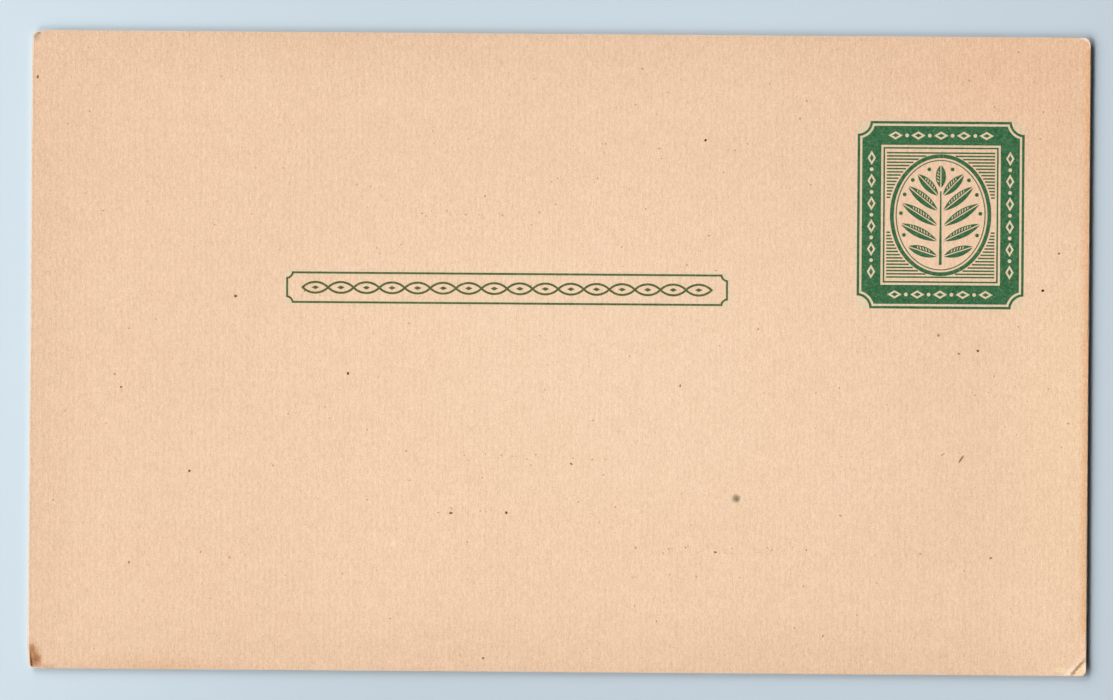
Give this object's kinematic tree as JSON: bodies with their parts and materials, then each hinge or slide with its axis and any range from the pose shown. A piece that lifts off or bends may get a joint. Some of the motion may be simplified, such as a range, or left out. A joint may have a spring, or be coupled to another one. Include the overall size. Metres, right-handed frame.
{
  "type": "postcard",
  "caption": "Flat oblong postcard of buff card stock, printed in green with a framed address panel and a postage imprint, with one dog-eared corner.",
  "frame": {"origin": "middle of the card's outline, on its back face", "axes": "+X along the long edge to the right of the print, +Y to its top edge, +Z out of the printed front"},
  "size_m": [0.1397, 0.0842, 0.0003],
  "materials": {
    "card_face": "aged buff card, uncoated",
    "card_stock": "paler core of the card",
    "green_ink": "dry letterpress ink"
  },
  "bodies": {
    "root": {"front_ply": "card_face", "core_ply": "card_stock", "back_ply": "card_face", "address_panel_border": "green_ink", "address_panel_twist": "green_ink", "address_panel_lozenges": "green_ink", "imprint_outer_rule": "green_ink", "imprint_border_band": "green_ink", "imprint_border_lozenges": "green_ink", "imprint_inner_rule": "green_ink", "imprint_ground_lines": "green_ink", "imprint_oval_rim": "green_ink", "imprint_oval_hairline": "green_ink", "sprig_stem": "green_ink", "leaf_shades": "green_ink", "leaf_lights": "green_ink", "sprig_berries": "green_ink"}
  },
  "joints": []
}
